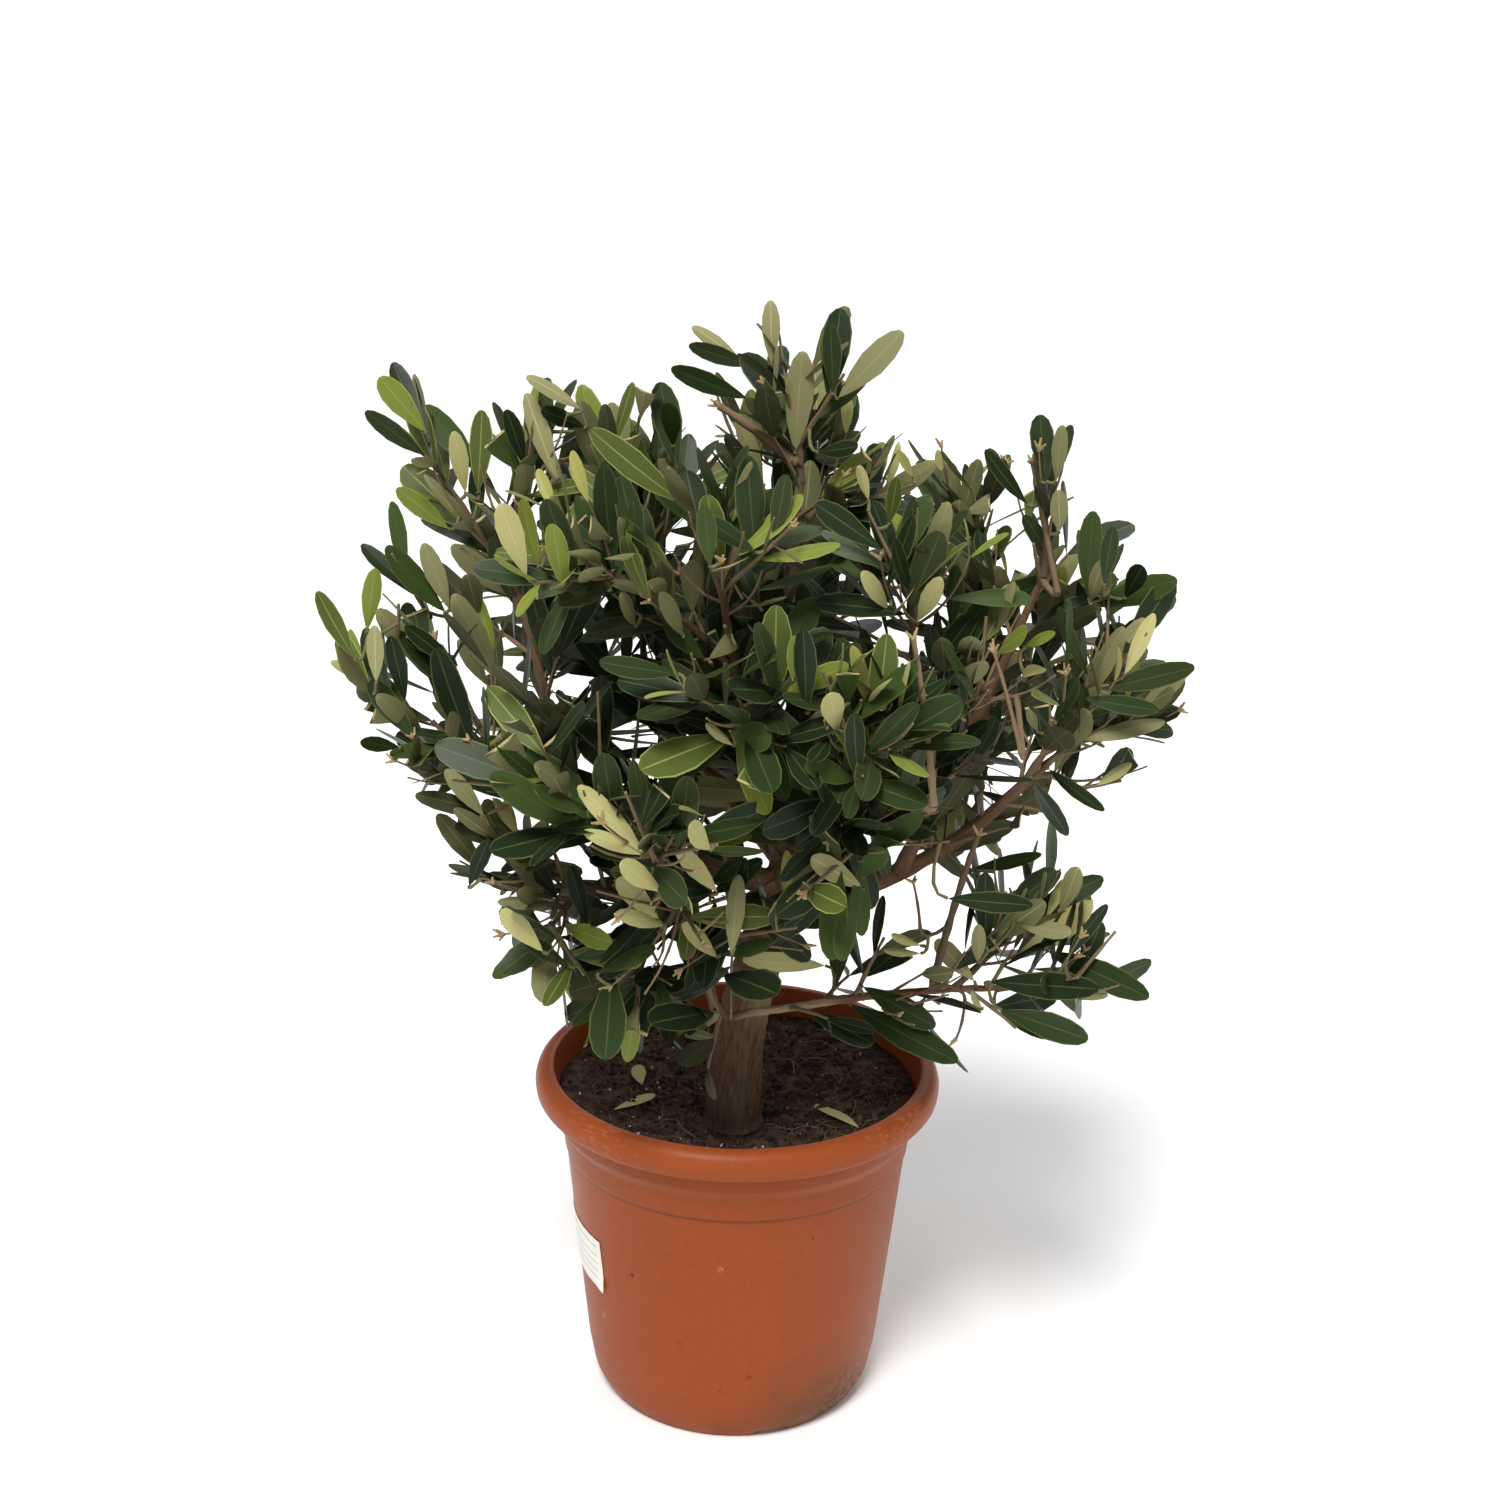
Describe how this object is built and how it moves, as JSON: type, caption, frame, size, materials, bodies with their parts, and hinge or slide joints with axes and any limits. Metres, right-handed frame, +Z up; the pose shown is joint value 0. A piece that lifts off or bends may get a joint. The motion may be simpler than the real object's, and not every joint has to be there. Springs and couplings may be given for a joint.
{
  "type": "potted olive tree",
  "caption": "Bushy young olive tree in a round terracotta-coloured nursery pot: short trunk, spreading boughs, narrow grey-green leaves, soil below the rim and a blank label.",
  "frame": {"origin": "middle of the pot's flat underside", "axes": "+Z up, -Y towards the viewer who sees the bare trunk under the crown, +X to the viewer's right"},
  "size_m": [0.5082, 0.4316, 0.656],
  "materials": {
    "terracotta_plastic": "satin",
    "potting_soil": "matte crumbly",
    "paper_label": "matte paper",
    "bark": "rough bark",
    "foliage": "leathery leaves"
  },
  "bodies": {
    "root": {"pot": "terracotta_plastic", "soil": "potting_soil", "label": "paper_label", "trunk": "bark", "bough_leader": "bark", "bough_right": "bark", "bough_left": "bark", "bough_back": "bark", "bough_front_left": "bark", "bough_right_back": "bark", "bough_up_left": "bark", "bough_front_right": "bark", "bough_left_low": "bark", "bough_low_right": "bark", "bough_back_left": "bark", "bough_back_right": "bark", "bough_front_up": "bark", "bough_right_up": "bark", "bough_left_up": "bark", "bough_right_top": "bark", "foliage_top": "foliage", "foliage_top_right_middle": "foliage", "foliage_top_back": "foliage", "foliage_top_middle": "foliage", "foliage_top_left": "foliage", "foliage_top_left_end": "foliage", "foliage_left_end": "foliage", "foliage_left_high": "foliage", "foliage_left_side": "foliage", "foliage_left_under": "foliage", "foliage_left_low_front": "foliage", "foliage_left_hanging": "foliage", "foliage_front_low": "foliage", "foliage_front_left_side": "foliage", "foliage_front_left_low": "foliage", "foliage_front_centre": "foliage", "foliage_front_middle": "foliage", "foliage_front_top": "foliage", "foliage_front_top_left": "foliage", "foliage_front_right": "foliage", "foliage_front_low_right": "foliage", "foliage_right_front_top": "foliage", "foliage_right_front": "foliage", "foliage_right_end": "foliage", "foliage_right_high": "foliage", "foliage_right_hanging": "foliage", "foliage_right_top": "foliage", "foliage_back_right": "foliage", "foliage_back_right_top": "foliage", "foliage_low_right": "foliage", "foliage_low_right_up": "foliage", "foliage_low_right_front": "foliage", "foliage_back": "foliage", "foliage_back_low": "foliage", "foliage_back_left": "foliage", "foliage_back_left_top": "foliage", "foliage_back_left_low": "foliage", "foliage_back_right_low": "foliage"}
  },
  "joints": []
}
